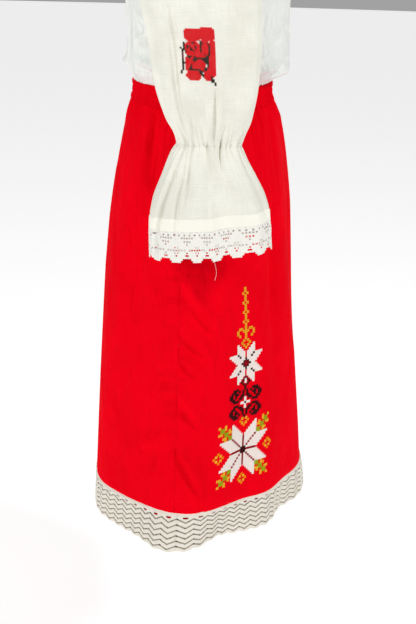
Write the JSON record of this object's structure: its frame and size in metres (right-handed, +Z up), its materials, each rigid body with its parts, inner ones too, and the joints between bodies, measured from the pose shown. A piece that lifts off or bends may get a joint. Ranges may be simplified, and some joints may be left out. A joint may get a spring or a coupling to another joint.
{
  "type": "european folk dress",
  "caption": "Hollow worn-form folk dress: white blouse bodice with elastic-gathered flounced sleeves, straight red embroidered skirt, lace at cuffs and hem.",
  "frame": {"origin": "midway between the neck ends of the two shoulder seams, where the wearer holds the dress up", "axes": "+Z up; the front faces -Y; the wearer's right side is at -X"},
  "size_m": [0.4906, 0.3469, 1.0413],
  "materials": {
    "blouse_cotton": "matt plain-woven cotton, slightly sheer",
    "skirt_cotton": "matt red cotton twill with cross-stitch",
    "crochet_lace": "matt crocheted cotton thread",
    "sleeve_lace": "matt bobbin-style cotton lace"
  },
  "bodies": {
    "root": {"bodice_front": "blouse_cotton", "bodice_back": "blouse_cotton", "sleeve_right": "blouse_cotton", "sleeve_left": "blouse_cotton", "waistband": "skirt_cotton", "skirt_front": "skirt_cotton", "skirt_back": "skirt_cotton", "skirt_lace_front": "crochet_lace", "skirt_lace_back": "crochet_lace", "sleeve_lace_right": "sleeve_lace", "sleeve_lace_left": "sleeve_lace"}
  },
  "joints": []
}
